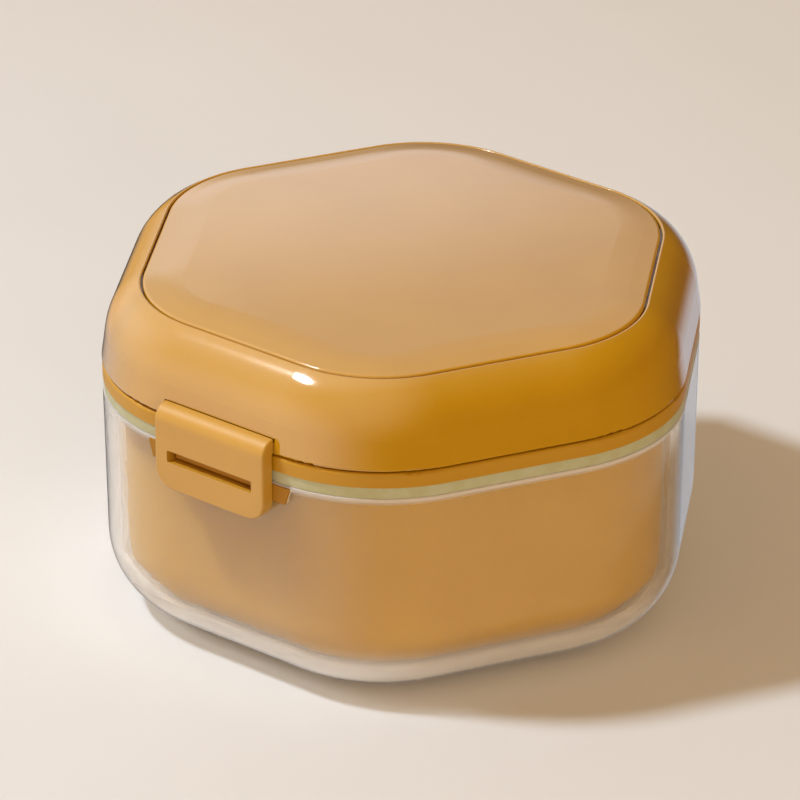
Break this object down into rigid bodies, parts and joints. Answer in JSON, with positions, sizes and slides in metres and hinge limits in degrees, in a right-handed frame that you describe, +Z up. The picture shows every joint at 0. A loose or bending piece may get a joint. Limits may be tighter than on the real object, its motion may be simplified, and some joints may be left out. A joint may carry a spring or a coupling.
{
  "type": "aligner case",
  "caption": "Rounded hexagonal aligner case with a domed hinged lid, an inset top panel, a snap latch, and an opaque tub inside a clear shell.",
  "frame": {"origin": "centre of the shell's flat underside, on the surface that the case stands on", "axes": "+Z up, -Y out through the latch, +Y out through the hinge, X along both hinge axes"},
  "size_m": [0.0902, 0.092, 0.0519],
  "materials": {
    "gloss_amber": "polished moulded amber plastic",
    "satin_amber": "satin moulded amber plastic",
    "tub_amber": "matt moulded amber plastic",
    "clear_shell": "clear polished plastic",
    "sage_silicone": "matt silicone",
    "pin_steel": "drawn wire"
  },
  "bodies": {
    "base": {"base_shell": "clear_shell", "seal_ring": "sage_silicone", "inner_tub": "tub_amber", "keeper": "satin_amber", "hinge_bracket": "satin_amber", "hinge_pin": "pin_steel"},
    "lid": {"lid_shell": "gloss_amber", "top_panel": "gloss_amber", "lid_gasket": "sage_silicone", "latch_pin": "pin_steel"},
    "latch": {"latch": "satin_amber"}
  },
  "joints": [
    {"name": "lid_hinge", "type": "hinge", "parent": "base", "child": "lid", "pos_m": [0, 0.0451, 0.0375], "axis": [-1, 0, 0], "range_deg": [0, 115]},
    {"name": "latch_hinge", "type": "hinge", "parent": "lid", "child": "latch", "pos_m": [0, -0.04265, 0.0397], "axis": [-1, 0, 0], "range_deg": [0, 75]}
  ]
}
